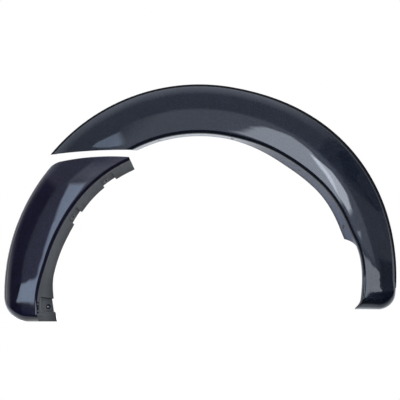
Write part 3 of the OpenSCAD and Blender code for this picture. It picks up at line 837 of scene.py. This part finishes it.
def bare_plastic(name, color, rough, shine, grain_mm, depth_mm):
    """Unpainted moulded plastic with a fine grain, and painted shade toward a flange's rim."""
    made, s = material(name)
    where = s.node("ShaderNodeTexCoord", out="Object")
    grain = s.node("ShaderNodeTexNoise", None, {"Vector": where, "Scale": 1 / (grain_mm * MM), "Detail": 3})
    cloud = s.node("ShaderNodeTexNoise", None, {"Vector": where, "Scale": PLASTIC_CLOUDS, "Detail": 4})
    worn_and_shaded_rim = s.colors(rgb(color, CLEAN_TONE), rgb(color, WORN_TONE), cloud.above(*PLASTIC_CLOUD_STEP))
    # Painted shade: the plastic darkens over the outer part of the flange toward its rim
    worn_and_shaded_rim = s.colors(worn_and_shaded_rim, rgb(color, RIM_PAINTED_SHADE), s.inward().above(*PLASTIC_SHADED_RIM_STEP))
    bump = s.node("ShaderNodeBump", None, {
        "Height": grain, "Distance": depth_mm * MM, "Strength": GRAIN_STRENGTH})
    bsdf = s.node("ShaderNodeBsdfPrincipled", None, {
        "Base Color": worn_and_shaded_rim, "Roughness": rough + grain * GRAIN_ROUGH, "Specular IOR Level": shine,
        "Normal": bump, "IOR": PLASTIC_IOR})
    s.output(bsdf)
    return made


# The studio

PIXEL = 2.6 * MM
FRAME_PX = 400
AIM_PX = (200.3, 321.5)
CAMERA_FAR, CAMERA_UP = 14, 0.05
PAPER_SIZE, PAPER_BACK, PAPER_TURN = 6, 3.0, 3
PAPER_WHITE, PAPER_GLOW = 0.8, 0.5

# Shapes that the paint mirrors, by the surface's lean across and up: corners clockwise, and softness
MIRRORED = {
    "window": ([(0.045, 0.19), (0.085, 0.30), (0.125, 0.34), (0.19, 0.345), (0.235, 0.30),
                (0.245, 0.20), (0.20, 0.10), (0.15, 0.07), (0.08, 0.10)], 0.012),
    "sill": ([(0.215, 0.275), (0.29, 0.25), (0.32, 0.185), (0.29, 0.125),
              (0.215, 0.088), (0.20, 0.115)], 0.015),
    "wedge": ([(-0.285, 0.325), (-0.262, 0.35), (-0.186, 0.345), (-0.09, 0.15), (-0.12, 0.15)], 0.015),
    "streak": ([(-0.257, 0.216), (-0.155, 0.138), (-0.150, 0.10), (-0.19, 0.085), (-0.237, 0.160)], 0.01),
    "strip": ([(-0.196, 0.09), (-0.15, 0.10), (-0.158, 0.036), (-0.18, 0.036)], 0.008),
    "blade": ([(0.08, 0.01), (0.187, 0.026), (0.30, 0.034), (0.404, 0.034), (0.471, 0.022),
               (0.497, 0.004), (0.472, -0.013), (0.36, -0.016), (0.24, -0.018), (0.08, -0.02)], 0.008),
    "step": ([(-0.42, -0.010), (-0.33, 0.036), (-0.15, 0.034), (-0.13, -0.014)], 0.005),
    "sheen": ([(-0.27, 0.235), (-0.22, 0.27), (-0.12, 0.15), (-0.145, 0.135)], 0.03),
    "shade": ([(0.285, 0.34), (0.405, 0.485), (0.68, 0.42), (0.66, 0.22), (0.43, 0.255)], 0.012),
    "blot": ([(0.415, 0.29), (0.43, 0.42), (0.50, 0.44), (0.545, 0.36), (0.49, 0.30)], 0.012),
    "stripe": ([(0.46, 0.315), (0.475, 0.325), (0.645, 0.215), (0.64, 0.20)], 0.006),
}

# Places where parts of the room begin or end, each as an edge and the width of its soft step
FLOOR_TOP, HALL_FOOT = (-0.02, 0.02), (0.045, 0.04)
HALL_RADIUS, HALL_LEFT, MIDDLE_RADIUS = (0.43, 0.03), (-0.15, 0.1), (0.13, 0.03)
LEFT_SIDE, LEFT_TOP, LEFT_SLOPE = (-0.325, 0.03), (-0.02, 0.02), 0.84
RIM_RADIUS, RIM_FOOT, RIM_RIGHT, RIM_DIM = (0.628, 0.07), (0.25, 0.3), (0.35, 0.2), (-0.36, 0.15)
SIDE_RADIUS, SIDE_RIGHT, SIDE_TOP = (0.605, 0.1), (-0.5, 0.1), (0.15, 0.15)
RIDGE_FROM, RIDGE_TO = (0.83, 0.1), (1.6, 0.3)
CORNER_LEFT, CORNER_TOP = (0.50, 0.03), (0.09, 0.02)
WEDGE_FOOT, WEDGE_SLOPE = (0.110, 0.006), 0.83
BEHIND = (0.0, 0.3)

# Brightness of the room, what its parts add or take, and its lights
ROOM, FLOOR_LOSS, RIM_DIM_LOSS = 0.5, 0.85, 0.35
TONES = {"hall": 0.7, "sheen": 0.8, "left": -0.42, "shade": -0.26, "blot": -0.14, "stripe": -0.10,
         "corner": -0.3}
LIGHTS = {"rim": 1.4, "side": 1.4, "ridge": 3.2, "window": 4.2, "sill": 7.5, "wedge": 2.2,
          "streak": 3.6, "blade": 3.2, "step": 4.2}
SKY_LIGHTS = ("wedge", "streak", "step")
ROOM_TINT, SKY_TINT, WHITE = (0.90, 0.97, 1.08), (0.78, 0.96, 1.25), (1, 1, 1)

# How uneven the mirrored room is, and the lean's divisor, a little over 1 so that it is never nothing
DRIFT_SCALE, DRIFT_ACROSS, DRIFT_UP, LEAN_BASE = 5.0, 0.03, 0.02, 1.02


def add_camera():
    """A far camera that looks straight at the painted face, framed as the photograph is."""
    aim = Vector(((FRAME_PX / 2 - AIM_PX[0]) * PIXEL, 0, (AIM_PX[1] - FRAME_PX / 2) * PIXEL))
    at = Vector((aim.x, -CAMERA_FAR, CAMERA_UP))
    bpy.ops.object.select_all(action="DESELECT")
    bpy.ops.object.camera_add(location=at, rotation=(aim - at).to_track_quat("-Z", "Y").to_euler())
    camera = bpy.context.object
    camera.data.sensor_width = 36
    camera.data.lens = camera.data.sensor_width * CAMERA_FAR / (FRAME_PX * PIXEL)
    camera.data.clip_end = 100
    scene.camera = camera


def outline(across, up, corners, soft):
    """1 within an outline whose corners run clockwise, with edges of the given softness."""
    inside = None
    for (x0, z0), (x1, z1) in zip(corners, corners[1:] + corners[:1]):
        length = math.dist((x0, z0), (x1, z1))
        depth = (across - x0) * ((z1 - z0) / length) - (up - z0) * ((x1 - x0) / length)
        inside = depth if inside is None else inside.math("MINIMUM", depth)
    return inside.above(0, soft)


def mirrored_parts(across, up):
    """The parts of the room that the paint mirrors, each 1 inside it and 0 elsewhere."""
    out = (across * across + up * up).root()
    floor = up.below(*FLOOR_TOP)
    parts = {name: outline(across, up, *shape) for name, shape in MIRRORED.items()}
    parts["wedge"] = parts["wedge"] * (up + across * WEDGE_SLOPE).above(*WEDGE_FOOT)
    parts["streak"] = (parts["streak"] + parts.pop("strip")).clamped()
    parts["hall"] = out.below(*HALL_RADIUS) * up.above(*HALL_FOOT) * across.above(*HALL_LEFT)
    parts["left"] = across.below(*LEFT_SIDE) * (across * LEFT_SLOPE + up).below(*LEFT_TOP)
    parts["corner"] = across.above(*CORNER_LEFT) * up.below(*CORNER_TOP)
    rim = out.above(*RIM_RADIUS) * up.above(*RIM_FOOT) * across.below(*RIM_RIGHT)
    parts["rim"] = rim * (1 - across.below(*RIM_DIM) * RIM_DIM_LOSS)
    parts["side"] = out.above(*SIDE_RADIUS) * across.below(*SIDE_RIGHT) * up.below(*SIDE_TOP)
    parts["ridge"] = out.above(*RIDGE_FROM) * out.below(*RIDGE_TO) * (1 - floor)
    parts["dark"] = (floor + out.below(*MIDDLE_RADIUS)).clamped()
    return parts


def add_world():
    """White behind the trim, and in front of it the room that its paint mirrors."""
    world = bpy.data.worlds.new("studio")
    scene.world = world
    s = Shader(world)
    way = s.node("ShaderNodeTexCoord", out="Generated")
    x, y, z = (s.node("ShaderNodeSeparateXYZ", None, {"Vector": way}, axis) for axis in "XYZ")
    noise = s.node("ShaderNodeTexNoise", None, {"Vector": way, "Scale": DRIFT_SCALE, "Detail": 2})
    drift = noise - 0.5
    across = x / (LEAN_BASE - y) + drift * DRIFT_ACROSS
    up = z / (LEAN_BASE - y) - drift * DRIFT_UP
    parts = mirrored_parts(across, up)
    room = ROOM + sum(parts[name] * tone for name, tone in TONES.items())
    room = room * (1 - parts["dark"] * FLOOR_LOSS)
    room = room + sum(parts[name] * light for name, light in LIGHTS.items())
    behind = y.above(*BEHIND)
    level = room * (1 - behind) + behind
    seen = s.rays("Camera")[0]
    tint = s.colors(rgb(ROOM_TINT), rgb(WHITE), parts["left"])
    tint = s.colors(tint, rgb(SKY_TINT), sum(parts[name] for name in SKY_LIGHTS).clamped())
    tint = s.colors(tint, rgb(WHITE), seen)
    shown = level * (1 - seen) + seen
    background = s.node("ShaderNodeBackground", None, {"Color": tint, "Strength": shown})
    s.output(background, "ShaderNodeOutputWorld")


def add_floor():
    """A sheet of white paper under the trim, which keeps its shadow."""
    bpy.ops.object.select_all(action="DESELECT")
    bpy.ops.mesh.primitive_plane_add(
        size=PAPER_SIZE, location=(0, PAPER_BACK, 0), rotation=(0, 0, math.radians(PAPER_TURN)))
    floor = name_it("paper")
    made, s = material("paper_white")
    camera, glossy, transmission = s.rays("Camera", "Glossy", "Transmission")
    glow = (camera + glossy + transmission).clamped() * PAPER_GLOW
    diffuse = s.node("ShaderNodeBsdfDiffuse", None, {"Color": rgb([PAPER_WHITE] * 3)})
    emission = s.node("ShaderNodeEmission", None, {"Strength": glow})
    s.output(s.node("ShaderNodeAddShader", None, {0: diffuse, 1: emission}))
    floor.data.materials.append(made)
    bpy.ops.object.transform_apply(location=True, rotation=True, scale=True)


scene.view_settings.view_transform = "Standard"
add_camera()
add_world()
add_floor()

# The trim
navy_paint = metallic_paint(
    "navy_paint", deep=(0.0025, 0.004, 0.010), flake=(0.06, 0.075, 0.11), tint=(0.004, 0.006, 0.013))
blue_paint = metallic_paint(
    "blue_paint", deep=(0.004, 0.0038, 0.010), flake=(0.065, 0.06, 0.15), tint=(0.0065, 0.006, 0.017))
flange_plastic = bare_plastic(
    "flange_plastic", (0.041, 0.042, 0.043), rough=0.45, shine=0.35, grain_mm=0.6, depth_mm=0.03)
clip_plastic = bare_plastic(
    "clip_plastic", (0.035, 0.035, 0.037), rough=0.40, shine=0.4, grain_mm=0.4, depth_mm=0.01)
seal_rubber = bare_plastic(
    "seal_rubber", (0.006, 0.006, 0.007), rough=0.80, shine=0.05, grain_mm=0.5, depth_mm=0.02)

lines = section_lines()
upper = moulding(
    "upper_moulding", lines, upper_line, ("rim", "fold", "face", "roll", "flange"), upper_plan,
    [(a, UPPER_HOLE_AT, 0) for a in UPPER_SCREWS], UPPER_CLIPS, (navy_paint, flange_plastic))
lower = moulding(
    "lower_moulding", lines, lower_line, ("rim", "fold", "face", "roll"), lower_plan,
    [(a, POCKET_HOLE_AT, POCKET_DEPTH) for a in LOWER_SCREWS], LOWER_CLIPS, (blue_paint, flange_plastic))
seal = edge_seal("seal_strip", seal_rubber)

for piece, node, slot in (
    (upper, "upper_section", "upper_paint"),
    (lower, "lower_section", "lower_paint"),
    (seal, "edge_seal", "seal_rubber"),
):
    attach(piece, "root")
    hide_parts(node)

for node in ("upper_clips", "lower_clips"):
    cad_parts[node].data.materials.clear()
    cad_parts[node].data.materials.append(clip_plastic)
